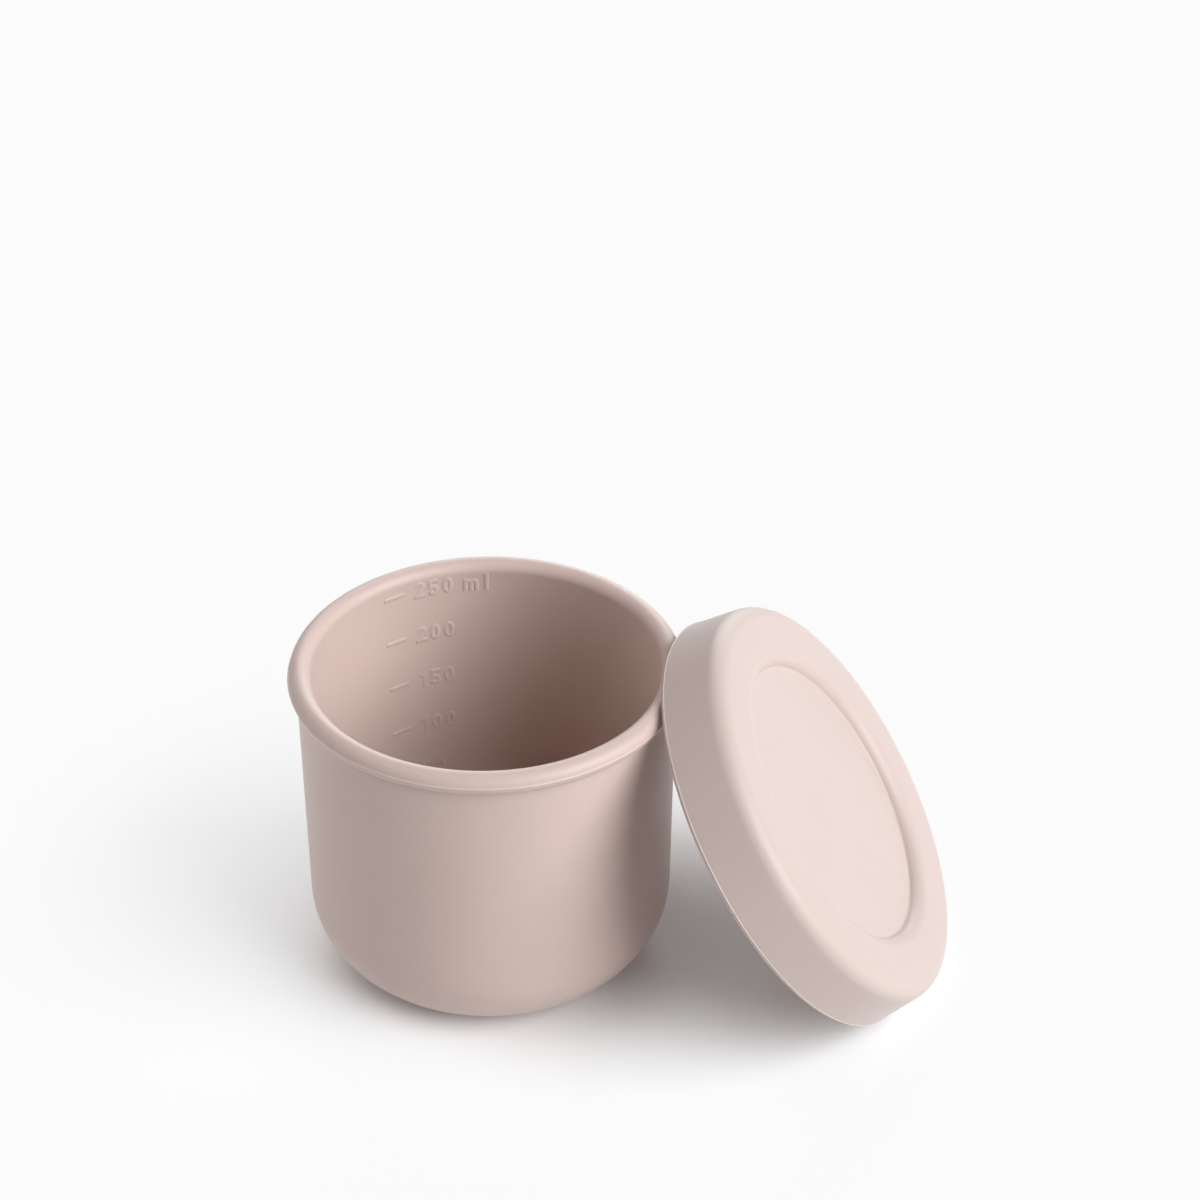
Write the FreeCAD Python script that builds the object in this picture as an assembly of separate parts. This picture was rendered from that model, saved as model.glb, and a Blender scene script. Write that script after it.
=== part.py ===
import FreeCAD, Part
import math
import os

# Round silicone food cup with a rolled rim, and its push-on lid.
# Millimetres, +Z up. The origin is the middle of the cup's foot, on the table.
# The lid is off: its edge stands on the table along +X and hooks over the crown of the rim.

# Cup
CUP_HEIGHT = 74.1
RIM_DIAMETER = 84.0
BEAD_THICKNESS = 4.8
CUP_WALL = 3.15
CUP_TAPER_DEG = 0.95
CAVITY_TAPER_DEG = 1.6
OUTER_CORNER_RADIUS = 17.75
INNER_CORNER_RADIUS = 16.0
FLOOR_THICKNESS = 3.5
FOOT_RING_WIDTH = 3.0
BASE_RECESS_DEPTH = 2.8
BASE_RECESS_ROUND = 2.0
FOOT_EDGE_ROUND = 0.8
BEAD_ROOT_ROUND = 0.5

# Measuring marks, raised on the inside of the cup
MARK_VOLUMES_ML = (50, 100, 150, 200, 250)
MARK_START_DEG = 136.4
MARK_LENGTH = 5.0
MARK_STROKE = 0.8
MARK_RELIEF = 0.2
MARK_ROOT = 0.8

# Lid
LID_HEIGHT = 14.4
LID_TAPER_DEG = 6.5
LID_SHOULDER_RADIUS = 3.9
LID_SKIRT_WALL = 2.4
LID_TOP_WALL = 2.4
LID_EDGE_ROUND = 1.1
LID_INSIDE_ROUND = 0.6
PANEL_BORDER = 15.9
PANEL_DEPTH = 2.65
PANEL_FOOT_ROUND = 0.6
PANEL_STEP_DEG = 60.0
PLUG_WALL = 2.4
PLUG_REACH = 1.3
PLUG_EDGE_ROUND = 0.5

# Fits
RIM_CLEARANCE = 2.5
PLUG_CLEARANCE = 0.15
LEAN_GAP = 0.2
LID_FOOT_DISTANCE = 49.5

AXIS = FreeCAD.Vector(0, 0, 1)
CENTRE = FreeCAD.Vector(0, 0, 0)

# Cup sizes that follow
cup_taper = math.radians(CUP_TAPER_DEG)
cavity_taper = math.radians(CAVITY_TAPER_DEG)
bead_radius = BEAD_THICKNESS / 2
bead_ring_radius = RIM_DIAMETER / 2 - bead_radius
bead_height = CUP_HEIGHT - bead_radius
mouth_radius = bead_ring_radius - bead_radius
outer_at_bead = mouth_radius + CUP_WALL
floor_height = BASE_RECESS_DEPTH + FLOOR_THICKNESS

# Lid sizes that follow
lid_taper = math.radians(LID_TAPER_DEG)
lid_mouth_radius = RIM_DIAMETER / 2 + RIM_CLEARANCE
lid_radius = lid_mouth_radius + LID_SKIRT_WALL
plug_radius = mouth_radius - PLUG_CLEARANCE
panel_radius = lid_radius - PANEL_BORDER
channel_ceiling = LID_HEIGHT - LID_TOP_WALL
foot_reach = RIM_DIAMETER / 2 + LID_FOOT_DISTANCE


def point(radius, height):
    return FreeCAD.Vector(radius, 0, height)


def line(start, end):
    return Part.LineSegment(start, end).toShape()


def arc(centre, radius, start_deg, end_deg):
    """Arc of the half section, from one angle above the outward direction to another."""
    def at(degrees):
        turn = math.radians(degrees)
        return centre + point(radius * math.cos(turn), radius * math.sin(turn))
    return Part.Arc(at(start_deg), at((start_deg + end_deg) / 2), at(end_deg)).toShape()


def section(pieces):
    """Joins arcs and corner points, in order, into a closed outline with straight runs between."""
    edges = []
    ends = []
    for piece in pieces:
        if isinstance(piece, FreeCAD.Vector):
            ends.append((piece, piece))
        else:
            edges.append(piece)
            ends.append((piece.firstVertex().Point, piece.lastVertex().Point))
    for index, (_, leaving) in enumerate(ends):
        arriving = ends[(index + 1) % len(ends)][0]
        if leaving.distanceToPoint(arriving) > 1e-6:
            edges.append(line(leaving, arriving))
    return Part.Wire(Part.__sortEdges__(edges))


def turned(outline, degrees=360):
    """Solid of a half section turned round the upright axis."""
    return Part.Face(outline).revolve(CENTRE, AXIS, degrees)


def wall_radius(radius_at_bead, taper, height):
    """Radius of a tapered cup wall at a height above the table."""
    return radius_at_bead - (bead_height - height) * math.tan(taper)


def corner_centre(radius_at_bead, taper, bottom, radius):
    """Centre of the round corner between a tapered wall and a level bottom."""
    height = bottom + radius
    return point(wall_radius(radius_at_bead, taper, height) - radius / math.cos(taper), height)


def cavity_radius(height):
    """Inner radius of the cup, narrower within the round corner at its floor."""
    rise = min(height - floor_height, INNER_CORNER_RADIUS)
    drop = INNER_CORNER_RADIUS - rise
    inset = INNER_CORNER_RADIUS - math.sqrt(INNER_CORNER_RADIUS ** 2 - drop ** 2)
    return wall_radius(mouth_radius, cavity_taper, height) - inset


def fill_height(volume_ml):
    """Height above the table that a volume of liquid reaches in the cup."""
    layer = 0.05
    height = floor_height
    volume = 0.0
    while volume < volume_ml * 1000:
        volume += math.pi * cavity_radius(height + layer / 2) ** 2 * layer
        height += layer
    return height


def cup_body():
    """Cup with a hollow foot, tapered wall and rolled bead, as one turned section."""
    outer_corner = corner_centre(outer_at_bead, cup_taper, 0, OUTER_CORNER_RADIUS)
    inner_corner = corner_centre(mouth_radius, cavity_taper, floor_height, INNER_CORNER_RADIUS)
    recess_radius = outer_corner.x - FOOT_RING_WIDTH
    bead_centre = point(bead_ring_radius, bead_height)
    under_bead = outer_at_bead - bead_ring_radius
    wall_meets_bead = -math.degrees(math.acos(under_bead / bead_radius))
    recess_corner = point(recess_radius - BASE_RECESS_ROUND, BASE_RECESS_DEPTH - BASE_RECESS_ROUND)
    ring_edge = point(recess_radius + FOOT_EDGE_ROUND, FOOT_EDGE_ROUND)
    outline = section([
        point(0, BASE_RECESS_DEPTH),
        arc(recess_corner, BASE_RECESS_ROUND, 90, 0),
        arc(ring_edge, FOOT_EDGE_ROUND, 180, 270),
        arc(outer_corner, OUTER_CORNER_RADIUS, -90, -CUP_TAPER_DEG),
        arc(bead_centre, bead_radius, wall_meets_bead, 180),
        arc(inner_corner, INNER_CORNER_RADIUS, -CAVITY_TAPER_DEG, -90),
        point(0, floor_height),
    ])
    body = turned(outline)
    crease_height = bead_height + bead_radius * math.sin(math.radians(wall_meets_bead))
    crease = [
        edge for edge in body.Edges
        if edge.Length > math.pi * mouth_radius
        and abs(edge.CenterOfMass.z - crease_height) < 0.01
        and abs(edge.BoundBox.ZLength) < 0.01
    ]
    return body.makeFillet(BEAD_ROOT_ROUND, crease)


def measuring_mark(height):
    """Short raised rib along the inner wall at one filling height."""
    wall = cavity_radius(height)
    low = height - MARK_STROKE / 2
    high = height + MARK_STROKE / 2
    inside = wall - MARK_RELIEF
    rooted = wall + MARK_ROOT
    outline = section([point(inside, low), point(rooted, low), point(rooted, high), point(inside, high)])
    length_deg = math.degrees(MARK_LENGTH / wall)
    rib = turned(outline, length_deg)
    rib.rotate(CENTRE, AXIS, MARK_START_DEG - length_deg)
    return rib


def cup():
    heights = [fill_height(volume) for volume in MARK_VOLUMES_ML]
    ribs = [measuring_mark(height) for height in heights if height < bead_height]
    return cup_body().fuse(ribs).removeSplitter()


def skirt_radius(height):
    """Outer radius of the lid's flared skirt at a height above its open edge."""
    return lid_radius - height * math.tan(lid_taper)


def lid_body():
    """Lid standing on its open edge: flared skirt, round shoulder, sunken panel and plug ring."""
    shoulder_height = LID_HEIGHT - LID_SHOULDER_RADIUS
    shoulder_inset = LID_SHOULDER_RADIUS / math.cos(lid_taper)
    shoulder = point(skirt_radius(shoulder_height) - shoulder_inset, shoulder_height)
    panel_top = LID_HEIGHT - PANEL_DEPTH
    panel_under = panel_top - LID_TOP_WALL
    step_rounds = PANEL_DEPTH / (1 - math.cos(math.radians(PANEL_STEP_DEG)))
    lip_round = step_rounds - PANEL_FOOT_ROUND
    step_width = step_rounds * math.sin(math.radians(PANEL_STEP_DEG))
    step_foot = point(panel_radius, panel_top + PANEL_FOOT_ROUND)
    step_lip = point(panel_radius + step_width, LID_HEIGHT - lip_round)
    skirt_inside = skirt_radius(channel_ceiling) - LID_SKIRT_WALL
    round_height = channel_ceiling - LID_INSIDE_ROUND
    plug_bottom = panel_under - PLUG_REACH
    plug_inner = plug_radius - PLUG_WALL
    edge_height = plug_bottom + PLUG_EDGE_ROUND
    outline = section([
        point(0, panel_top),
        arc(step_foot, PANEL_FOOT_ROUND, -90, -90 + PANEL_STEP_DEG),
        arc(step_lip, lip_round, 90 + PANEL_STEP_DEG, 90),
        arc(shoulder, LID_SHOULDER_RADIUS, 90, LID_TAPER_DEG),
        arc(point(lid_radius - LID_EDGE_ROUND, LID_EDGE_ROUND), LID_EDGE_ROUND, LID_TAPER_DEG, -90),
        arc(point(lid_mouth_radius + LID_EDGE_ROUND, LID_EDGE_ROUND), LID_EDGE_ROUND, -90, -180),
        arc(point(skirt_inside - LID_INSIDE_ROUND, round_height), LID_INSIDE_ROUND, 0, 90),
        arc(point(plug_radius + LID_INSIDE_ROUND, round_height), LID_INSIDE_ROUND, 90, 180),
        arc(point(plug_radius - PLUG_EDGE_ROUND, edge_height), PLUG_EDGE_ROUND, 0, -90),
        arc(point(plug_inner + PLUG_EDGE_ROUND, edge_height), PLUG_EDGE_ROUND, -90, -180),
        arc(point(plug_inner - LID_INSIDE_ROUND, panel_under - LID_INSIDE_ROUND), LID_INSIDE_ROUND, 0, 90),
        point(0, panel_under),
    ])
    return turned(outline)


def lid_middle(lean):
    """Middle of the lid's open edge when its foot stands on the table at an angle to it."""
    foot_radius = lid_radius - LID_EDGE_ROUND
    reach = foot_reach - foot_radius * math.cos(lean) - LID_EDGE_ROUND * math.sin(lean)
    height = foot_radius * math.sin(lean) + LID_EDGE_ROUND * (1 - math.cos(lean))
    return point(reach, height)


def rim_gap(lean):
    """Least distance between the lid's rounded edge and the cup's bead."""
    middle = lid_middle(lean)
    gaps = []
    for degrees in range(-90, 91):
        around = math.radians(degrees)
        out = bead_ring_radius * math.cos(around) - middle.x
        up = bead_height - middle.z
        above = out * math.sin(lean) + up * math.cos(lean) - LID_EDGE_ROUND
        down_slope = out * math.cos(lean) - up * math.sin(lean)
        ring = math.hypot(down_slope, bead_ring_radius * math.sin(around))
        inside = lid_mouth_radius + LID_EDGE_ROUND - ring
        outside = ring - lid_radius + LID_EDGE_ROUND
        gaps.append(math.hypot(above, max(inside, outside, 0)))
    return min(gaps) - LID_EDGE_ROUND - bead_radius


def wall_gap(lean):
    """Least distance between the lid's rounded edge and the cup's wall below the bead."""
    middle = lid_middle(lean)
    foot_radius = lid_radius - LID_EDGE_ROUND
    gaps = []
    for degrees in range(-180, 180):
        around = math.radians(degrees)
        up_slope = foot_radius * math.cos(around)
        across = foot_radius * math.sin(around)
        out = middle.x - up_slope * math.cos(lean) + LID_EDGE_ROUND * math.sin(lean)
        height = middle.z + up_slope * math.sin(lean) + LID_EDGE_ROUND * math.cos(lean)
        if height < bead_height:
            gaps.append(math.hypot(out, across) - wall_radius(outer_at_bead, cup_taper, height))
    return min(gaps) - LID_EDGE_ROUND


def lean_angle():
    """Upright on its foot, the lid is tipped in finer and finer steps until it lies at the cup."""
    lean_deg = 90.0
    for step_deg in (1.0, 0.1, 0.01, 0.001):
        tipped = math.radians(lean_deg - step_deg)
        while min(rim_gap(tipped), wall_gap(tipped)) > LEAN_GAP:
            lean_deg -= step_deg
            tipped = math.radians(lean_deg - step_deg)
    return lean_deg


def lid():
    """Lid leaning on the cup: foot of its edge on the table, top of its edge over the rim."""
    lean_deg = lean_angle()
    leaning = lid_body()
    leaning.rotate(CENTRE, FreeCAD.Vector(0, 1, 0), lean_deg)
    leaning.translate(lid_middle(math.radians(lean_deg)))
    print("lid leans at", round(lean_deg, 3), "degrees about", lid_middle(math.radians(lean_deg)))
    return leaning


os.makedirs("parts", exist_ok=True)
for name, solid in (("cup", cup()), ("lid", lid())):
    solid.exportStep("parts/" + name + ".step")
    print(name, solid.isValid(), round(solid.Volume), solid.BoundBox)
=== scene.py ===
"""Round silicone food cup with a rolled rim, raised measuring marks and a push-on lid."""

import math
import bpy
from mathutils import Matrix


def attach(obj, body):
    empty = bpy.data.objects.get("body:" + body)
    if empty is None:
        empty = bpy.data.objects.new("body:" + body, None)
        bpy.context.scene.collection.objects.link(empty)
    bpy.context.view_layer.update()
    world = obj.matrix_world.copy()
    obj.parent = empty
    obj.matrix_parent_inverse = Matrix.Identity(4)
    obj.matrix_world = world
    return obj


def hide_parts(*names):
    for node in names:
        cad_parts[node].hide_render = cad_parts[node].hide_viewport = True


bl_info = {
    "name": "Silicone Food Container",
    "version": (1, 0, 0),
    "blender": (4, 5, 0),
    "location": "3D View > Sidebar > Food Container",
    "description": "Moulded cup, measuring marks and lid, built over the packed model",
    "category": "Object",
}

import bmesh
import bpy
from bpy.props import FloatProperty, FloatVectorProperty, IntProperty, PointerProperty

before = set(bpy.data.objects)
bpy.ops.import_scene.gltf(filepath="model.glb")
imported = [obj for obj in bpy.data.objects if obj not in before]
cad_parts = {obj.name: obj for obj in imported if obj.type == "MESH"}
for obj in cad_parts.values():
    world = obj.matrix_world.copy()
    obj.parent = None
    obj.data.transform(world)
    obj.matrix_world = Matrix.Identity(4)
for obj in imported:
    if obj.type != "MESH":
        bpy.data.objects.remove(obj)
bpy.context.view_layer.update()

MM = 0.001
CUBIC_METRES_PER_ML = 1e-6

# How finely the shapes are divided and joined
ARC_STEP_DEG = 5.0
ARC_FEWEST_STEPS = 4
BOW_STEP_DEG = 15.0
LONGEST_RUN = 4.0 * MM
RIDGE_STEPS = 4
ROOT_TRIES = 8
STROKE_CUTS = 2
STROKE_SIDES = 24
FLOOR_SIDES = 96
FILL_LAYER = 0.05 * MM
SAME_POINT = 1e-7
WELD_DISTANCE = 5e-7
SHARP_EDGE_DEG = 35.0

# Parting lines
RIDGE_SHARPNESS = 1.5
PARTING_MARGIN_DEG = 1.0

# Skin of the silicone
CLOUD_SCALE = 55.0
CLOUD_DETAIL = 3.0
CLOUD_ROUGHNESS = 0.55
GRAIN_DETAIL = 2.0
GRAIN_ROUGHNESS = 0.6
GRAIN_LOW = 0.3
GRAIN_HIGH = 0.7
DULLNESS_SPREAD = 0.05
BUMP_STRENGTH = 0.12
BUMP_HEIGHT = 0.04 * MM
# Paler colour painted on the parting lines: a painted highlight for the light that their ridges catch
PARTING_HIGHLIGHT_COLOUR = (1.0, 0.94, 0.90, 1.0)
REFRACTION = 1.41
SCATTER_TINT = (1.0, 0.55, 0.4)
SCATTER_REACH = 3.0 * MM
SHEEN_ROUGHNESS = 0.45

# Proportions of the numerals, in heights of a digit, and turns of their round strokes in degrees
DIGIT_WIDTH = 0.63
ONE_WIDTH = 0.54
ONE_STEM = 0.37
ONE_FLAG = (0.12, 0.72)
TWO_HEAD = 0.29
TWO_HEAD_TURN = (165, -35)
FIVE_BAR_START = 0.08
FIVE_BAR_INSET = 0.04
FIVE_STEM_TOP = 0.16
FIVE_STEM_FOOT = (0.11, 0.45)
FIVE_BOWL = 0.33
FIVE_BOWL_SHIFT = 0.02
FIVE_BOWL_TURN = (140, -155)
M_WIDTH = 0.87
L_INSET = 0.10
SMALL_LETTER = 0.74
WORD_SPACE = 0.22
SIGN_GAP = 0.14


# Kinds of settings

def length(label, description, millimetres):
    """A size in the panel, given here in millimetres."""
    return FloatProperty(
        name=label, description=description, default=millimetres * MM, min=0.0, precision=5, unit="LENGTH"
    )


def angle(label, description, degrees):
    """An angle in the panel, given here in degrees."""
    return FloatProperty(
        name=label, description=description, default=math.radians(degrees), subtype="ANGLE", unit="ROTATION"
    )


def share(label, description, value):
    """A plain share from 0 to 1."""
    return FloatProperty(
        name=label, description=description, default=value, min=0.0, max=1.0, subtype="FACTOR"
    )


def colour(label, description, linear):
    """A colour, in linear light."""
    return FloatVectorProperty(
        name=label, description=description, default=linear, size=3, min=0.0, max=1.0, subtype="COLOR"
    )


def strength(label, description, value):
    """Strength of a light."""
    return FloatProperty(name=label, description=description, default=value, min=0.0)


def whole(label, description, value, least):
    """A whole number."""
    return IntProperty(name=label, description=description, default=value, min=least)


class CupSizes(bpy.types.PropertyGroup):
    height: length("Height", "Table to the crown of the rim", 74.1)
    rim: length("Rim", "Diameter over the rolled bead", 84.0)
    bead: length("Bead", "Thickness of the rolled bead", 4.8)
    wall: length("Wall", "Thickness of the side wall", 3.15)
    taper: angle("Taper", "Slope of the side wall outside", 0.95)
    cavity_taper: angle("Cavity taper", "Slope of the side wall inside", 1.6)
    outer_corner: length("Outer corner", "Radius of the round bottom edge", 17.75)
    inner_corner: length("Inner corner", "Radius between wall and floor inside", 16.0)
    floor: length("Floor", "Thickness of the floor", 3.5)
    foot: length("Foot", "Width of the flat ring that it stands on", 3.0)
    recess: length("Recess", "Depth of the hollow under the floor", 2.8)
    recess_round: length("Recess round", "Radius at the roof of the hollow", 2.0)
    foot_round: length("Foot round", "Radius at the inner edge of the foot", 0.8)
    root_round: length("Root round", "Radius where the wall meets the bead", 0.5)
    parting_height: length("Parting height", "How far the parting line stands out of the bead", 0.13)
    parting_width: length("Parting width", "Width of the parting line on the bead", 0.50)
    sides: whole("Sides", "Faces round the cup", 256, 32)


class MarkSizes(bpy.types.PropertyGroup):
    start: angle("Start", "Where the marks begin, round the cup's axis", 136.4)
    tick: length("Tick", "Length of a tick", 5.0)
    stroke: length("Stroke", "Width of a stroke where it leaves the wall", 1.15)
    relief: length("Relief", "How far the marks stand out of the wall", 0.12)
    root: length("Root", "How deep the marks reach into the wall", 0.5)
    gap: length("Gap", "From the tick to the numerals", 2.4)
    digit: length("Digit", "Height of a numeral", 4.2)
    smallest: whole("Smallest", "Lowest mark and step, in millilitres", 50, 1)
    count: whole("Count", "How many marks", 5, 1)


class LidSizes(bpy.types.PropertyGroup):
    clearance: length("Rim clearance", "Between the lid's open edge and the rim", 2.5)
    height: length("Height", "Open edge to the top", 14.4)
    taper: angle("Taper", "Flare of the skirt", 6.5)
    shoulder: length("Shoulder", "Radius between skirt and top", 3.9)
    skirt: length("Skirt", "Thickness of the skirt", 2.4)
    top: length("Top", "Thickness of the top", 2.4)
    edge: length("Edge round", "Radius of the open edge", 1.1)
    inside: length("Inside round", "Radius of the corners inside", 0.6)
    border: length("Border", "Width of the raised border round the panel", 15.9)
    panel_depth: length("Panel depth", "How far the panel is sunk", 2.65)
    panel_foot: length("Panel foot", "Radius at the foot of the step", 0.6)
    panel_step: angle("Panel step", "Steepest slope of the step", 70.0)
    plug_gap: length("Plug clearance", "Between the plug ring and the cup's mouth", 0.15)
    plug_wall: length("Plug wall", "Thickness of the plug ring", 2.4)
    plug_reach: length("Plug reach", "How far the plug ring hangs below the panel", 1.3)
    plug_edge: length("Plug edge", "Radius of the plug ring's edge", 0.5)
    parting_height: length("Parting height", "How far the parting line stands out of the edge", 0.13)
    parting_width: length("Parting width", "Width of the parting line on the edge", 0.30)
    lean: angle("Lean", "Slope of the leaning lid", 55.066)
    foot: length("Foot", "From the rim to the lid's foot on the table", 49.5)
    sides: whole("Sides", "Faces round the lid", 256, 32)


class SiliconeFinish(bpy.types.PropertyGroup):
    cup_colour: colour("Cup colour", "Dusty pink of the cup", (0.587, 0.452, 0.406))
    # The lid has the cup's dusty pink, shifted to a less saturated tone as a painted highlight for its
    # brightly lit top
    lid_colour: colour("Lid colour", "Dusty pink of the lid", (0.568, 0.458, 0.419))
    mottle: share("Mottle", "How much the pigment varies", 0.04)
    # The parting lines' ridges are modelled; their paler colour is a painted highlight
    thin_glow: share("Thin glow", "How much paler thin parting lines are", 0.30)
    roughness: share("Roughness", "Dullness of the moulded skin", 0.40)
    gloss: share("Gloss", "Strength of the reflections", 0.38)
    sheen: share("Sheen", "Soft bloom at glancing angles", 0.10)
    depth: share("Depth", "Share of light that scatters under the skin", 0.10)
    grain: length("Grain", "Size of the mould's fine texture", 0.35)


class StageSetting(bpy.types.PropertyGroup):
    floor_radius: length("Floor radius", "Size of the floor", 5000.0)
    floor_colour: colour("Floor colour", "Share of light that the floor throws back", (0.82, 0.82, 0.82))
    paper: colour("Paper", "Pale background", (0.965, 0.965, 0.965))
    # The floor's own white is a painted glow; contact and closed fade it by ambient occlusion near pieces,
    # which shapes the painted contact shade
    contact: length("Contact", "How near a piece must be to take the floor's own white away", 90.0)
    closed: share("Closed", "Openness at which the floor shows none of its own white", 0.3)
    ambient: strength("Ambient", "Light from all round", 0.04)
    key: strength("Key", "Strength of the main lamp", 4.22)
    key_colour: colour("Key colour", "Tint of the main lamp", (0.955, 0.98, 1.0))
    key_azimuth: angle("Key azimuth", "Where the main lamp stands, from +X", -20.0)
    key_elevation: angle("Key elevation", "Height of the main lamp", 34.5)
    key_size: angle("Key size", "How wide the main lamp looks from the cup", 50.0)
    back: strength("Back", "Strength of the lamp behind", 1.1)
    back_colour: colour("Back colour", "Tint of the lamp behind", (0.96, 0.98, 1.0))
    back_azimuth: angle("Back azimuth", "Where the lamp behind stands, from +X", 91.0)
    back_elevation: angle("Back elevation", "Height of the lamp behind", 20.0)
    back_size: angle("Back size", "How wide the lamp behind looks from the cup", 38.0)
    side: strength("Side", "Strength of the lamp beside the cup", 1.3)
    side_colour: colour("Side colour", "Tint of the lamp beside the cup", (1.0, 0.95, 0.95))
    side_azimuth: angle("Side azimuth", "Where the lamp beside the cup stands, from +X", 182.0)
    side_elevation: angle("Side elevation", "Height of the lamp beside the cup", 20.0)
    side_size: angle("Side size", "How wide the lamp beside the cup looks from it", 75.0)
    eye: FloatVectorProperty(
        name="Eye", description="Where the camera stands", default=(0.1092, -0.6041, 0.5031), size=3,
        subtype="TRANSLATION", unit="LENGTH"
    )
    pitch: angle("Pitch", "Tilt of the camera, from straight down", 56.02)
    turn: angle("Turn", "Turn of the camera round the upright axis", 8.0)
    lens: FloatProperty(name="Lens", description="Focal length in millimetres", default=106.14, min=1.0)


# Half sections: each point is its radius, its height and how much it belongs to a parting line, which also
# sets how much painted highlight it gets

def arc(centre, radius, start_deg, end_deg):
    """Round stretch of a half section, from one angle above the outward direction to another."""
    steps = max(ARC_FEWEST_STEPS, math.ceil(abs(end_deg - start_deg) / ARC_STEP_DEG))
    points = []
    for step in range(steps + 1):
        turn = math.radians(start_deg + (end_deg - start_deg) * step / steps)
        points.append((centre[0] + radius * math.cos(turn), centre[1] + radius * math.sin(turn), 0.0))
    return points


def parted_arc(centre, radius, start_deg, end_deg, middle_deg, width, height):
    """Round stretch with the low ridge of a parting line across it."""
    half_deg = math.degrees(width / radius) / 2
    direction = 1 if end_deg > start_deg else -1
    ridge = []
    for step in range(-RIDGE_STEPS, RIDGE_STEPS + 1):
        along = step / RIDGE_STEPS
        rise = (1 - abs(along)) ** RIDGE_SHARPNESS
        turn = math.radians(middle_deg + direction * half_deg * along)
        out = radius + height * rise
        ridge.append((centre[0] + out * math.cos(turn), centre[1] + out * math.sin(turn), rise))
    before = arc(centre, radius, start_deg, middle_deg - direction * half_deg)
    after = arc(centre, radius, middle_deg + direction * half_deg, end_deg)
    return before + ridge + after


def corner(radius, height):
    """Single point of a half section."""
    return [(radius, height, 0.0)]


def half_section(*stretches):
    """Joins stretches end to end and divides the long straight runs between them."""
    points = []
    for point in (point for stretch in stretches for point in stretch):
        if points:
            last = points[-1]
            run = math.dist(last[:2], point[:2])
            if run < SAME_POINT:
                continue
            parts = math.ceil(run / LONGEST_RUN)
            for part in range(1, parts):
                points.append(tuple(a + (b - a) * part / parts for a, b in zip(last, point)))
        points.append(point)
    return points


class CupForm:
    """Sizes of the cup that follow from its settings."""

    def __init__(self, cup):
        self.bead_radius = cup.bead / 2
        self.bead_ring = cup.rim / 2 - self.bead_radius
        self.bead_height = cup.height - self.bead_radius
        self.mouth = self.bead_ring - self.bead_radius
        self.outer = self.mouth + cup.wall
        self.floor_height = cup.recess + cup.floor
        self.taper = cup.taper
        self.cavity_taper = cup.cavity_taper
        self.inner_corner = cup.inner_corner

    def wall_radius(self, radius_at_bead, taper, height):
        """Radius of a tapered wall, inside or outside, at a height."""
        return radius_at_bead - (self.bead_height - height) * math.tan(taper)

    def corner_centre(self, radius_at_bead, taper, bottom, radius):
        """Centre of the round corner between a tapered wall and a level bottom."""
        height = bottom + radius
        return self.wall_radius(radius_at_bead, taper, height) - radius / math.cos(taper), height

    def root_centre(self, root):
        """Centre of the small round between the outer wall and the underside of the bead."""
        height = self.bead_height - self.bead_radius
        # The wall's radius depends on the height, so each is found from the other in turns
        for _ in range(ROOT_TRIES):
            reach = self.wall_radius(self.outer, self.taper, height) + root / math.cos(self.taper)
            drop = math.sqrt((self.bead_radius + root) ** 2 - (reach - self.bead_ring) ** 2)
            height = self.bead_height - drop
        return reach, height

    def cavity_radius(self, height):
        """Inner radius of the cup, narrower within the round corner at its floor."""
        drop = self.inner_corner - min(height - self.floor_height, self.inner_corner)
        inset = self.inner_corner - math.sqrt(self.inner_corner ** 2 - drop ** 2)
        return self.wall_radius(self.mouth, self.cavity_taper, height) - inset

    def fill_height(self, volume_ml):
        """Height above the table that a volume of liquid reaches in the cup."""
        height = self.floor_height
        volume = 0.0
        while volume < volume_ml * CUBIC_METRES_PER_ML:
            volume += math.pi * self.cavity_radius(height + FILL_LAYER / 2) ** 2 * FILL_LAYER
            height += FILL_LAYER
        return height


def cup_section(cup):
    """Half section of the cup, from the floor inside over the rim to the underside of the floor."""
    form = CupForm(cup)
    taper_deg = math.degrees(cup.taper)
    outer = form.corner_centre(form.outer, cup.taper, 0.0, cup.outer_corner)
    inner = form.corner_centre(form.mouth, cup.cavity_taper, form.floor_height, cup.inner_corner)
    recess = outer[0] - cup.foot
    bead = (form.bead_ring, form.bead_height)
    root = form.root_centre(cup.root_round)
    meet_deg = math.degrees(math.atan2(bead[1] - root[1], bead[0] - root[0]))
    return half_section(
        corner(0.0, form.floor_height),
        arc(inner, cup.inner_corner, -90, -math.degrees(cup.cavity_taper)),
        parted_arc(bead, form.bead_radius, 180, meet_deg - 180, 0.0, cup.parting_width, cup.parting_height),
        arc(root, cup.root_round, meet_deg, 180 - taper_deg),
        arc(outer, cup.outer_corner, -taper_deg, -90),
        arc((recess + cup.foot_round, cup.foot_round), cup.foot_round, 270, 180),
        arc((recess - cup.recess_round, cup.recess - cup.recess_round), cup.recess_round, 0, 90),
        corner(0.0, cup.recess),
    )


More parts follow.
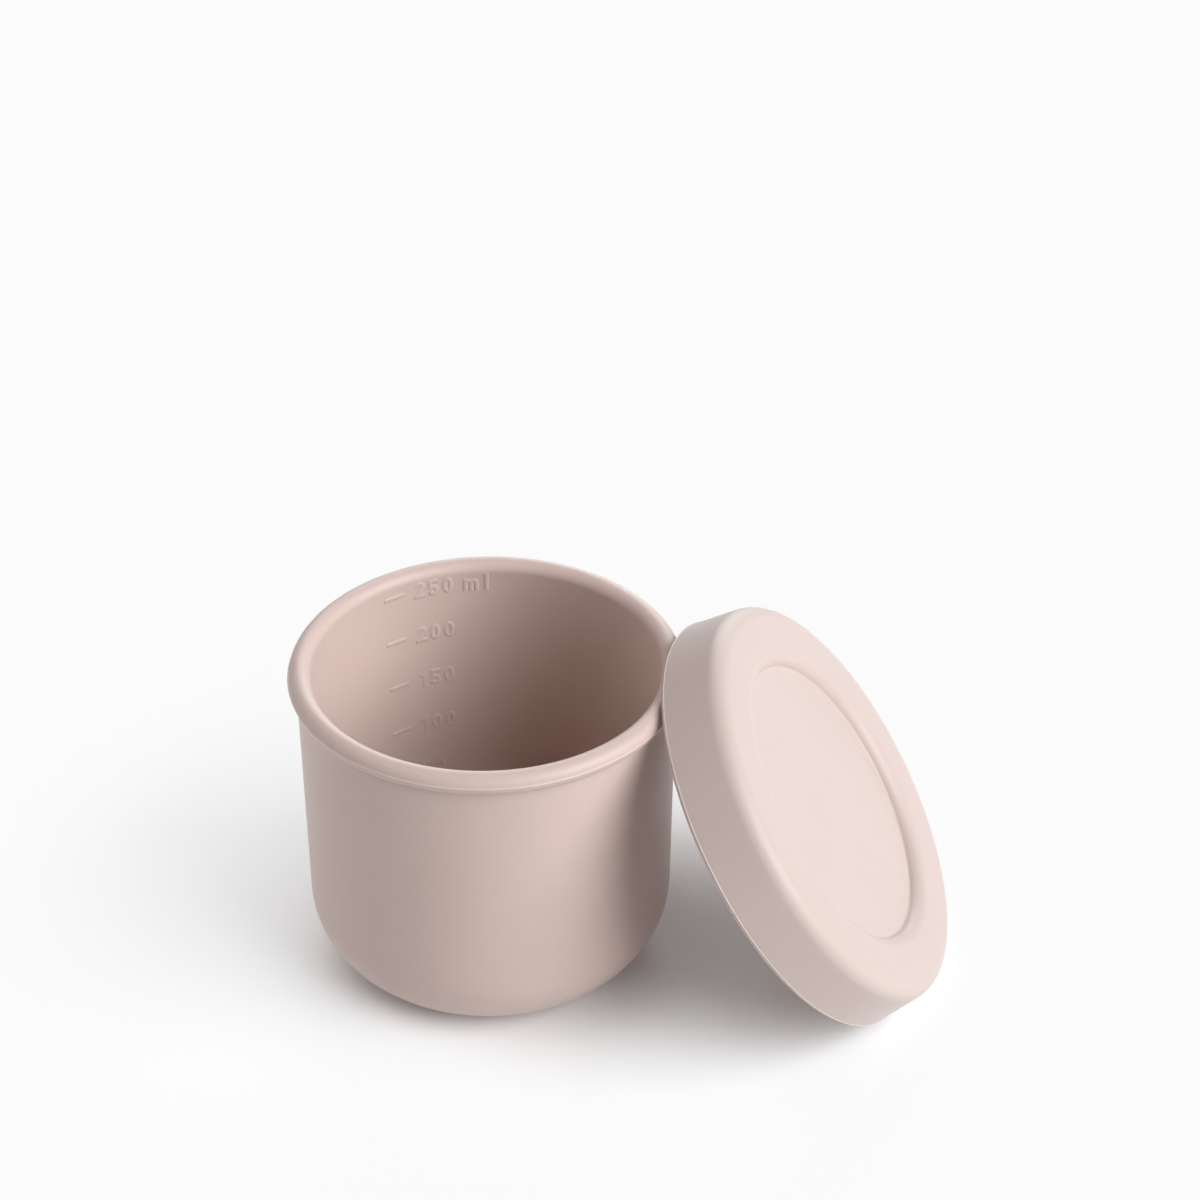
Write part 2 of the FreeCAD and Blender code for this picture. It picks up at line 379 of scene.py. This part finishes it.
def lid_section(lid, cup):
    """Half section of the lid on its open edge, from the top of its panel round to its underside."""
    form = CupForm(cup)
    taper_deg = math.degrees(lid.taper)
    step_deg = math.degrees(lid.panel_step)
    mouth = cup.rim / 2 + lid.clearance
    radius = mouth + lid.skirt
    panel = radius - lid.border
    plug = form.mouth - lid.plug_gap
    plug_inner = plug - lid.plug_wall

    def skirt_radius(height):
        return radius - height * math.tan(lid.taper)

    shoulder_height = lid.height - lid.shoulder
    shoulder = (skirt_radius(shoulder_height) - lid.shoulder / math.cos(lid.taper), shoulder_height)
    panel_top = lid.height - lid.panel_depth
    panel_under = panel_top - lid.top
    # The step is two rounds, at its lip and at its foot, that meet where it is steepest
    rounds = lid.panel_depth / (1 - math.cos(lid.panel_step))
    lip = rounds - lid.panel_foot
    step_width = rounds * math.sin(lid.panel_step)
    ceiling = lid.height - lid.top
    inside_height = ceiling - lid.inside
    skirt_inside = skirt_radius(ceiling) - lid.skirt
    plug_edge = panel_under - lid.plug_reach + lid.plug_edge
    parting_deg = taper_deg - math.degrees(lid.parting_width / lid.edge) / 2 - PARTING_MARGIN_DEG
    return half_section(
        corner(0.0, panel_top),
        arc((panel, panel_top + lid.panel_foot), lid.panel_foot, -90, -90 + step_deg),
        arc((panel + step_width, lid.height - lip), lip, 90 + step_deg, 90),
        arc(shoulder, lid.shoulder, 90, taper_deg),
        parted_arc((radius - lid.edge, lid.edge), lid.edge, taper_deg, -90, parting_deg,
                   lid.parting_width, lid.parting_height),
        arc((mouth + lid.edge, lid.edge), lid.edge, -90, -180),
        arc((skirt_inside - lid.inside, inside_height), lid.inside, 0, 90),
        arc((plug + lid.inside, inside_height), lid.inside, 90, 180),
        arc((plug - lid.plug_edge, plug_edge), lid.plug_edge, 0, -90),
        arc((plug_inner + lid.plug_edge, plug_edge), lid.plug_edge, -90, -180),
        arc((plug_inner - lid.inside, panel_under - lid.inside), lid.inside, 0, 90),
        corner(0.0, panel_under),
    )


def lid_middle(lid, cup):
    """Middle of the leaning lid's open edge, with its foot on the table."""
    foot = cup.rim / 2 + lid.clearance + lid.skirt - lid.edge
    reach = cup.rim / 2 + lid.foot - foot * math.cos(lid.lean) - lid.edge * math.sin(lid.lean)
    height = foot * math.sin(lid.lean) + lid.edge * (1 - math.cos(lid.lean))
    return reach, 0.0, height


# Node trees

def put(tree, kind, inputs=None, **settings):
    """Adds a node, sets it up and joins or fills its inputs."""
    made = tree.nodes.new(kind)
    for name, value in settings.items():
        setattr(made, name, value)
    for socket, value in (inputs or {}).items():
        if isinstance(value, bpy.types.NodeSocket):
            tree.links.new(value, made.inputs[socket])
        else:
            made.inputs[socket].default_value = value
    return made


def shape_tree(name, sockets):
    """An empty shape tree with a geometry output and named inputs, and its input node."""
    tree = bpy.data.node_groups.new(name, "GeometryNodeTree")
    tree.interface.new_socket("Geometry", in_out="INPUT", socket_type="NodeSocketGeometry")
    for label, kind in sockets:
        tree.interface.new_socket(label, in_out="INPUT", socket_type=kind)
    tree.interface.new_socket("Geometry", in_out="OUTPUT", socket_type="NodeSocketGeometry")
    return tree, put(tree, "NodeGroupInput")


def close_tree(tree, shape, finish):
    """Ends a shape tree with real geometry in its material."""
    real = put(tree, "GeometryNodeRealizeInstances", {"Geometry": shape})
    painted = put(tree, "GeometryNodeSetMaterial", {"Geometry": real.outputs[0], "Material": finish})
    put(tree, "NodeGroupOutput", {"Geometry": painted.outputs[0]})


def turned_tree():
    """Turns a half section, given as a chain of points, round the upright axis, then tips and moves it."""
    tree, given = shape_tree("Turned moulding", (
        ("Sides", "NodeSocketInt"),
        ("Tip", "NodeSocketRotation"),
        ("Place", "NodeSocketVector"),
        ("Finish", "NodeSocketMaterial"),
    ))
    chain = given.outputs["Geometry"]
    sides = given.outputs["Sides"]
    rings = put(tree, "GeometryNodeAttributeDomainSize", {"Geometry": chain}).outputs["Point Count"]
    row = put(tree, "FunctionNodeIntegerMath", {0: sides, 1: 1}, operation="ADD").outputs[0]
    grid = put(tree, "GeometryNodeMeshGrid", {"Vertices X": rings, "Vertices Y": row})
    index = put(tree, "GeometryNodeInputIndex").outputs[0]
    ring = put(tree, "FunctionNodeIntegerMath", {0: index, 1: row}, operation="DIVIDE_FLOOR").outputs[0]
    side = put(tree, "FunctionNodeIntegerMath", {0: index, 1: row}, operation="MODULO").outputs[0]
    around = put(tree, "ShaderNodeMath", {0: side, 1: sides}, operation="DIVIDE").outputs[0]
    turn = put(tree, "ShaderNodeMath", {0: around, 1: math.tau}, operation="MULTIPLY").outputs[0]
    position = put(tree, "GeometryNodeInputPosition").outputs[0]
    point = put(tree, "GeometryNodeSampleIndex", {"Geometry": chain, "Value": position, "Index": ring},
                data_type="FLOAT_VECTOR").outputs[0]
    turned = put(tree, "ShaderNodeVectorRotate", {"Vector": point, "Angle": turn},
                 rotation_type="Z_AXIS").outputs[0]
    shell = put(tree, "GeometryNodeSetPosition", {"Geometry": grid.outputs["Mesh"], "Position": turned})
    # Carries each parting line's share of painted highlight from the half section to the turned shell
    thin = put(tree, "GeometryNodeInputNamedAttribute", {"Name": "thin"}, data_type="FLOAT").outputs[0]
    parting_highlight_here = put(tree, "GeometryNodeSampleIndex", {"Geometry": chain, "Value": thin, "Index": ring},
                    data_type="FLOAT").outputs[0]
    marked = put(tree, "GeometryNodeStoreNamedAttribute",
                 {"Geometry": shell.outputs[0], "Name": "thin", "Value": parting_highlight_here},
                 data_type="FLOAT", domain="POINT")
    mapped = put(tree, "GeometryNodeStoreNamedAttribute",
                 {"Geometry": marked.outputs[0], "Name": "UVMap", "Value": grid.outputs["UV Map"]},
                 data_type="FLOAT2", domain="CORNER")
    welded = put(tree, "GeometryNodeMergeByDistance",
                 {"Geometry": mapped.outputs[0], "Distance": WELD_DISTANCE})
    smooth = put(tree, "GeometryNodeSetShadeSmooth", {"Geometry": welded.outputs[0]})
    placed = put(tree, "GeometryNodeTransform", {
        "Geometry": smooth.outputs[0],
        "Translation": given.outputs["Place"],
        "Rotation": given.outputs["Tip"],
    })
    close_tree(tree, placed.outputs[0], given.outputs["Finish"])
    return tree


def strokes_tree():
    """Raises strokes, given as flat chains of points, on the inside of the cup's wall."""
    tree, given = shape_tree("Raised marks", (
        ("Cup", "NodeSocketObject"),
        ("Start", "NodeSocketFloat"),
        ("Wall radius", "NodeSocketFloat"),
        ("Profile size", "NodeSocketVector"),
        ("Profile place", "NodeSocketVector"),
        ("Finish", "NodeSocketMaterial"),
    ))
    lines = put(tree, "GeometryNodeMeshToCurve", {"Mesh": given.outputs["Geometry"]}).outputs[0]
    fine = put(tree, "GeometryNodeSubdivideCurve", {"Curve": lines, "Cuts": STROKE_CUTS}).outputs[0]
    level = put(tree, "GeometryNodeSetCurveNormal", {"Curve": fine}, mode="Z_UP").outputs[0]
    circle = put(tree, "GeometryNodeCurvePrimitiveCircle", {"Resolution": STROKE_SIDES, "Radius": 0.5})
    profile = put(tree, "GeometryNodeTransform", {
        "Geometry": circle.outputs["Curve"],
        "Scale": given.outputs["Profile size"],
        "Translation": given.outputs["Profile place"],
    }).outputs[0]
    bars = put(tree, "GeometryNodeCurveToMesh",
               {"Curve": level, "Profile Curve": profile, "Fill Caps": True}).outputs[0]
    united = put(tree, "GeometryNodeMeshBoolean", {"Mesh 2": bars, "Self Intersection": True},
                 operation="UNION", solver="EXACT").outputs[0]
    position = put(tree, "GeometryNodeInputPosition").outputs[0]
    flat = put(tree, "ShaderNodeSeparateXYZ", {"Vector": position})
    along = put(tree, "ShaderNodeMath", {0: flat.outputs["X"], 1: given.outputs["Wall radius"]},
                operation="DIVIDE").outputs[0]
    turn = put(tree, "ShaderNodeMath", {0: given.outputs["Start"], 1: along},
               operation="SUBTRACT").outputs[0]
    outward = put(tree, "ShaderNodeVectorRotate", {"Vector": (1.0, 0.0, 0.0), "Angle": turn},
                  rotation_type="Z_AXIS").outputs[0]
    axis_point = put(tree, "ShaderNodeCombineXYZ", {"Z": flat.outputs["Y"]}).outputs[0]
    cup = put(tree, "GeometryNodeObjectInfo", {"Object": given.outputs["Cup"]}).outputs["Geometry"]
    wall = put(tree, "GeometryNodeRaycast", {
        "Target Geometry": cup,
        "Source Position": axis_point,
        "Ray Direction": outward,
    }).outputs["Hit Position"]
    raised = put(tree, "ShaderNodeVectorMath", {0: outward, "Scale": flat.outputs["Z"]},
                 operation="SCALE").outputs[0]
    laid = put(tree, "ShaderNodeVectorMath", {0: wall, 1: raised}, operation="ADD").outputs[0]
    bent = put(tree, "GeometryNodeSetPosition", {"Geometry": united, "Position": laid})
    close_tree(tree, bent.outputs[0], given.outputs["Finish"])
    return tree


def run_tree(obj, tree, values):
    """Shapes an object with a tree, whose inputs are given by name, and keeps the result as a mesh."""
    modifier = obj.modifiers.new(tree.name, "NODES")
    modifier.node_group = tree
    for item in tree.interface.items_tree:
        if item.in_out == "INPUT" and item.name in values:
            modifier[item.identifier] = values[item.name]
    bpy.context.view_layer.update()
    evaluated = obj.evaluated_get(bpy.context.evaluated_depsgraph_get())
    mesh = bpy.data.meshes.new_from_object(evaluated)
    obj.modifiers.remove(modifier)
    first = obj.data
    obj.data = mesh
    mesh.name = obj.name
    bpy.data.meshes.remove(first)
    if not mesh.polygons:
        raise RuntimeError(obj.name + " came out empty")


# Materials

def silicone(name, base, finish):
    """Matte moulded silicone: slightly uneven pigment, a painted highlight in paler colour on the parting
    lines, fine grain and a soft bloom.
    """
    material = bpy.data.materials.new(name)
    material.use_nodes = True
    tree = material.node_tree
    tree.nodes.clear()
    place = put(tree, "ShaderNodeTexCoord").outputs["Object"]
    clouds = put(tree, "ShaderNodeTexNoise", {
        "Vector": place, "Scale": CLOUD_SCALE, "Detail": CLOUD_DETAIL, "Roughness": CLOUD_ROUGHNESS,
    }).outputs["Fac"]
    darker = tuple(channel * (1 - finish.mottle) for channel in base)
    paler = tuple(channel + (1 - channel) * finish.mottle / 2 for channel in base)
    pigment = put(tree, "ShaderNodeMix", {
        "Factor": clouds, 6: (*darker, 1.0), 7: (*paler, 1.0),
    }, data_type="RGBA").outputs[2]
    # Painted highlight: the parting lines' ridges are mixed towards a paler colour
    thin = put(tree, "ShaderNodeAttribute", attribute_name="thin").outputs["Fac"]
    parting_highlight_share = put(tree, "ShaderNodeMath", {0: thin, 1: finish.thin_glow}, operation="MULTIPLY").outputs[0]
    skin = put(tree, "ShaderNodeMix", {
        "Factor": parting_highlight_share, 6: pigment, 7: PARTING_HIGHLIGHT_COLOUR,
    }, data_type="RGBA").outputs[2]
    grain = put(tree, "ShaderNodeTexNoise", {
        "Vector": place, "Scale": 1 / finish.grain, "Detail": GRAIN_DETAIL, "Roughness": GRAIN_ROUGHNESS,
    }).outputs["Fac"]
    dull = put(tree, "ShaderNodeMapRange", {
        "Value": grain,
        "From Min": GRAIN_LOW,
        "From Max": GRAIN_HIGH,
        "To Min": finish.roughness - DULLNESS_SPREAD,
        "To Max": finish.roughness + DULLNESS_SPREAD,
    }).outputs[0]
    bump = put(tree, "ShaderNodeBump", {
        "Height": grain, "Strength": BUMP_STRENGTH, "Distance": BUMP_HEIGHT,
    }).outputs[0]
    shader = put(tree, "ShaderNodeBsdfPrincipled", {
        "Base Color": skin,
        "Roughness": dull,
        "Normal": bump,
        "IOR": REFRACTION,
        "Specular IOR Level": finish.gloss,
        "Subsurface Weight": finish.depth,
        "Subsurface Radius": SCATTER_TINT,
        "Subsurface Scale": SCATTER_REACH,
        "Sheen Weight": finish.sheen,
        "Sheen Roughness": SHEEN_ROUGHNESS,
    })
    put(tree, "ShaderNodeOutputMaterial", {"Surface": shader.outputs[0]})
    return material


def seen_directly(tree):
    """1 for rays from the eye, and for reflected and refracted ones."""
    path = put(tree, "ShaderNodeLightPath").outputs
    first = put(tree, "ShaderNodeMath", {0: path["Is Camera Ray"], 1: path["Is Glossy Ray"]},
                operation="MAXIMUM").outputs[0]
    return put(tree, "ShaderNodeMath", {0: first, 1: path["Is Transmission Ray"]},
               operation="MAXIMUM").outputs[0]


def paper_floor(setting):
    """Pale floor that takes the shadows; its own white is painted light, a glow that fills the shadows in
    for the eye and shows less where a piece stands close over it, so the shade left there fades out by
    ambient occlusion rather than by the lamps.
    """
    material = bpy.data.materials.new("paper_floor")
    material.use_nodes = True
    tree = material.node_tree
    tree.nodes.clear()
    # Ambient occlusion fades the painted glow near pieces, so shade shows there and is filled in further
    # off
    openness = put(tree, "ShaderNodeAmbientOcclusion", {"Distance": setting.contact}).outputs["AO"]
    fill_where_open = put(tree, "ShaderNodeMapRange", {"Value": openness, "From Min": setting.closed}).outputs[0]
    seen = seen_directly(tree)
    painted_fill_share = put(tree, "ShaderNodeMath", {0: seen, 1: fill_where_open}, operation="MULTIPLY").outputs[0]
    colour_here = put(tree, "ShaderNodeMix", {
        "Factor": seen, 6: (*setting.floor_colour, 1.0), 7: (*setting.paper, 1.0),
    }, data_type="RGBA").outputs[2]
    matte = put(tree, "ShaderNodeBsdfDiffuse", {"Color": colour_here}).outputs[0]
    # Painted light: the floor glows white for the eye
    painted_fill_light = put(tree, "ShaderNodeEmission", {"Color": (*setting.paper, 1.0), "Strength": 1.0}).outputs[0]
    mixed = put(tree, "ShaderNodeMixShader", {0: painted_fill_share, 1: matte, 2: painted_fill_light}).outputs[0]
    put(tree, "ShaderNodeOutputMaterial", {"Surface": mixed})
    return material


# Pieces

def new_piece(name, data):
    """A new object in the scene."""
    obj = bpy.data.objects.new(name, data)
    bpy.context.scene.collection.objects.link(obj)
    return obj


def chain_mesh(name, points):
    """A half section as a chain of points with its parting lines marked for their painted highlight."""
    mesh = bpy.data.meshes.new(name)
    mesh.from_pydata([(radius, 0.0, height) for radius, height, _ in points],
                     [(index, index + 1) for index in range(len(points) - 1)], [])
    thin = mesh.attributes.new("thin", "FLOAT", "POINT")
    thin.data.foreach_set("value", [point[2] for point in points])
    return mesh


def carry(obj, body, node=None):
    """Sets a finished piece on the body that it moves with."""
    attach(obj, body)
    if node:
        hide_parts(node)


def bow(centre, reach, start_deg, end_deg):
    """Round stretch of a stroke: part of an ellipse."""
    steps = math.ceil(abs(end_deg - start_deg) / BOW_STEP_DEG)
    points = []
    for step in range(steps + 1):
        turn = math.radians(start_deg + (end_deg - start_deg) * step / steps)
        points.append((centre[0] + reach[0] * math.cos(turn), centre[1] + reach[1] * math.sin(turn)))
    return points


def glyph(sign, thick):
    """Width of a sign and the middle lines of its strokes, all in heights of a digit."""
    half = thick / 2
    top = 1 - half
    if sign == "0":
        centre = DIGIT_WIDTH / 2
        return DIGIT_WIDTH, [bow((centre, 0.5), (centre - half, 0.5 - half), 90, 450)]
    if sign == "1":
        return ONE_WIDTH, [[(ONE_STEM, 0.0), (ONE_STEM, 1.0)], [(ONE_STEM, top), ONE_FLAG]]
    if sign == "2":
        centre = DIGIT_WIDTH / 2
        head = bow((centre, 1 - TWO_HEAD), (centre - half, TWO_HEAD - half), *TWO_HEAD_TURN)
        return DIGIT_WIDTH, [head + [(half, half)], [(0.0, half), (DIGIT_WIDTH, half)]]
    if sign == "5":
        centre = DIGIT_WIDTH / 2 - FIVE_BOWL_SHIFT
        reach = DIGIT_WIDTH / 2 - half + FIVE_BOWL_SHIFT
        bar = [(DIGIT_WIDTH - FIVE_BAR_INSET, top), (FIVE_BAR_START, top)]
        stem = [(FIVE_STEM_TOP, top), FIVE_STEM_FOOT]
        bowl = bow((centre, FIVE_BOWL), (reach, FIVE_BOWL - half), *FIVE_BOWL_TURN)
        return DIGIT_WIDTH, [bar, stem, bowl]
    if sign == "m":
        strokes = [[(half, 0.0), (half, SMALL_LETTER)]]
        span = (M_WIDTH - thick) / 2
        spring = SMALL_LETTER - half - span / 2
        for stem in (half, half + span):
            arch = bow((stem + span / 2, spring), (span / 2, span / 2), 180, 0)
            strokes.append(arch + [(stem + span, 0.0)])
        return M_WIDTH, strokes
    if sign == "l":
        return L_INSET + thick, [[(L_INSET + half, 0.0), (L_INSET + half, 1.0)]]
    return WORD_SPACE, []


def written(words, start, height, marks):
    """Strokes of a row of signs, from a start along the wall and centred on a height."""
    strokes = []
    for sign in words:
        width, lines = glyph(sign, marks.stroke / marks.digit)
        for line in lines:
            strokes.append([(start + x * marks.digit, height + (y - 0.5) * marks.digit) for x, y in line])
        start += (width + SIGN_GAP) * marks.digit
    return strokes


def strokes_mesh(name, strokes):
    """Strokes as chains of points in the flat; one that ends where it starts is closed."""
    points = []
    edges = []
    for stroke in strokes:
        first = len(points)
        closed = math.dist(stroke[0], stroke[-1]) < SAME_POINT
        points += [(x, y, 0.0) for x, y in (stroke[:-1] if closed else stroke)]
        edges += [(index, index + 1) for index in range(first, len(points) - 1)]
        if closed:
            edges.append((len(points) - 1, first))
    mesh = bpy.data.meshes.new(name)
    mesh.from_pydata(points, edges, [])
    return mesh


def soften(mesh):
    """Shades a mesh smooth, apart from its sharp edges."""
    shape = bmesh.new()
    shape.from_mesh(mesh)
    bmesh.ops.remove_doubles(shape, verts=shape.verts[:], dist=WELD_DISTANCE)
    bmesh.ops.recalc_face_normals(shape, faces=shape.faces[:])
    for face in shape.faces:
        face.smooth = True
    for edge in shape.edges:
        edge.smooth = edge.calc_face_angle(0.0) < math.radians(SHARP_EDGE_DEG)
    shape.to_mesh(mesh)
    shape.free()


def new_floor(setting):
    """Wide pale floor under the object."""
    shape = bmesh.new()
    bmesh.ops.create_circle(shape, cap_ends=True, segments=FLOOR_SIDES, radius=setting.floor_radius)
    ground = bpy.data.meshes.new("floor")
    shape.to_mesh(ground)
    shape.free()
    ground.materials.append(paper_floor(setting))
    new_piece("floor", ground)


def new_lamp(setting, name):
    """Far lamp that shines from its azimuth and elevation and looks as wide as its size."""
    lamp = bpy.data.lights.new(name + "_lamp", "SUN")
    lamp.energy = getattr(setting, name)
    lamp.color = getattr(setting, name + "_colour")
    lamp.angle = getattr(setting, name + "_size")
    tilt = math.pi / 2 - getattr(setting, name + "_elevation")
    new_piece(lamp.name, lamp).rotation_euler = (0.0, tilt, getattr(setting, name + "_azimuth"))


def new_world(setting):
    """Dim light from all round, and the pale paper where it is seen."""
    world = bpy.data.worlds.new("studio")
    world.use_nodes = True
    tree = world.node_tree
    tree.nodes.clear()
    dim = put(tree, "ShaderNodeBackground",
              {"Color": (1.0, 1.0, 1.0, 1.0), "Strength": setting.ambient}).outputs[0]
    paper = put(tree, "ShaderNodeBackground",
                {"Color": (*setting.paper, 1.0), "Strength": 1.0}).outputs[0]
    both = put(tree, "ShaderNodeMixShader", {0: seen_directly(tree), 1: dim, 2: paper}).outputs[0]
    put(tree, "ShaderNodeOutputWorld", {"Surface": both})
    return world


def new_camera(setting):
    """Camera of the photograph."""
    lens = bpy.data.cameras.new("camera")
    lens.lens = setting.lens
    camera = new_piece("camera", lens)
    camera.location = setting.eye
    camera.rotation_euler = (setting.pitch, 0.0, setting.turn)
    return camera


class FOODCUP_OT_cup(bpy.types.Operator):
    """Turn the cup: hollow foot, tapered wall and rolled bead with its parting line"""
    bl_idname = "foodcup.cup"
    bl_label = "Cup"

    def execute(self, context):
        scene = context.scene
        cup = scene.foodcup_cup
        finish = scene.foodcup_finish
        piece = new_piece("cup_moulding", chain_mesh("cup_section", cup_section(cup)))
        run_tree(piece, turned_tree(), {
            "Sides": cup.sides,
            "Finish": silicone("cup_skin", finish.cup_colour, finish),
        })
        carry(piece, "cup", "cup")
        return {"FINISHED"}


class FOODCUP_OT_marks(bpy.types.Operator):
    """Raise the measuring ticks and their plain numerals on the inside of the cup"""
    bl_idname = "foodcup.marks"
    bl_label = "Measuring marks"

    def execute(self, context):
        scene = context.scene
        marks = scene.foodcup_marks
        form = CupForm(scene.foodcup_cup)
        strokes = []
        for number in range(1, marks.count + 1):
            volume = marks.smallest * number
            words = str(volume) + (" ml" if number == marks.count else "")
            height = form.fill_height(volume)
            strokes.append([(0.0, height), (marks.tick / 2, height), (marks.tick, height)])
            strokes += written(words, marks.tick + marks.gap, height, marks)
        # The strokes are ovals, most of them sunk in the wall, and as wide as a stroke where they leave it
        depth = marks.relief + marks.root
        across = marks.stroke * depth / (2 * math.sqrt(marks.relief * marks.root))
        piece = new_piece("measuring_marks", strokes_mesh("mark_strokes", strokes))
        run_tree(piece, strokes_tree(), {
            "Cup": bpy.data.objects["cup_moulding"],
            "Start": marks.start,
            "Wall radius": form.mouth,
            "Profile size": (across, depth, 1.0),
            "Profile place": (0.0, marks.relief - depth / 2, 0.0),
            "Finish": bpy.data.materials["cup_skin"],
        })
        soften(piece.data)
        carry(piece, "cup")
        return {"FINISHED"}


class FOODCUP_OT_lid(bpy.types.Operator):
    """Turn the lid and lean it on the cup: flared skirt, round shoulder, sunken panel and plug ring"""
    bl_idname = "foodcup.lid"
    bl_label = "Lid"

    def execute(self, context):
        scene = context.scene
        cup = scene.foodcup_cup
        lid = scene.foodcup_lid
        finish = scene.foodcup_finish
        piece = new_piece("lid_moulding", chain_mesh("lid_section", lid_section(lid, cup)))
        run_tree(piece, turned_tree(), {
            "Sides": lid.sides,
            "Tip": (0.0, lid.lean, 0.0),
            "Place": lid_middle(lid, cup),
            # The lid's colour carries a painted highlight for its lit top
            "Finish": silicone("lid_skin", finish.lid_colour, finish),
        })
        carry(piece, "lid", "lid")
        return {"FINISHED"}


class FOODCUP_OT_stage(bpy.types.Operator):
    """Lay the pale floor, set the lamps and place the camera"""
    bl_idname = "foodcup.stage"
    bl_label = "Stage"

    def execute(self, context):
        scene = context.scene
        setting = scene.foodcup_stage
        new_floor(setting)
        for name in ("key", "back", "side"):
            new_lamp(setting, name)
        scene.world = new_world(setting)
        scene.camera = new_camera(setting)
        scene.view_settings.view_transform = "Standard"
        return {"FINISHED"}


class FOODCUP_PT_panel(bpy.types.Panel):
    """Pieces of the food container and their settings"""
    bl_idname = "FOODCUP_PT_panel"
    bl_label = "Food Container"
    bl_space_type = "VIEW_3D"
    bl_region_type = "UI"
    bl_category = "Food Container"

    def draw(self, context):
        for group, operators in GROUPS:
            box = self.layout.box()
            settings = getattr(context.scene, group)
            for name in type(settings).__annotations__:
                box.prop(settings, name)
            for operator in operators:
                box.operator(operator.bl_idname)


GROUPS = (
    ("foodcup_cup", (FOODCUP_OT_cup,)),
    ("foodcup_marks", (FOODCUP_OT_marks,)),
    ("foodcup_lid", (FOODCUP_OT_lid,)),
    ("foodcup_finish", ()),
    ("foodcup_stage", (FOODCUP_OT_stage,)),
)
SETTINGS = (CupSizes, MarkSizes, LidSizes, SiliconeFinish, StageSetting)
OPERATORS = tuple(operator for _, operators in GROUPS for operator in operators)


def register():
    for group in (*SETTINGS, *OPERATORS, FOODCUP_PT_panel):
        bpy.utils.register_class(group)
    for (name, _), settings in zip(GROUPS, SETTINGS):
        setattr(bpy.types.Scene, name, PointerProperty(type=settings))


def unregister():
    for name, _ in GROUPS:
        delattr(bpy.types.Scene, name)
    for group in reversed((*SETTINGS, *OPERATORS, FOODCUP_PT_panel)):
        bpy.utils.unregister_class(group)


def main():
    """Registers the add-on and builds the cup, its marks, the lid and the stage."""
    register()
    bpy.ops.foodcup.cup()
    bpy.ops.foodcup.marks()
    bpy.ops.foodcup.lid()
    bpy.ops.foodcup.stage()


if __name__ == "__main__":
    main()
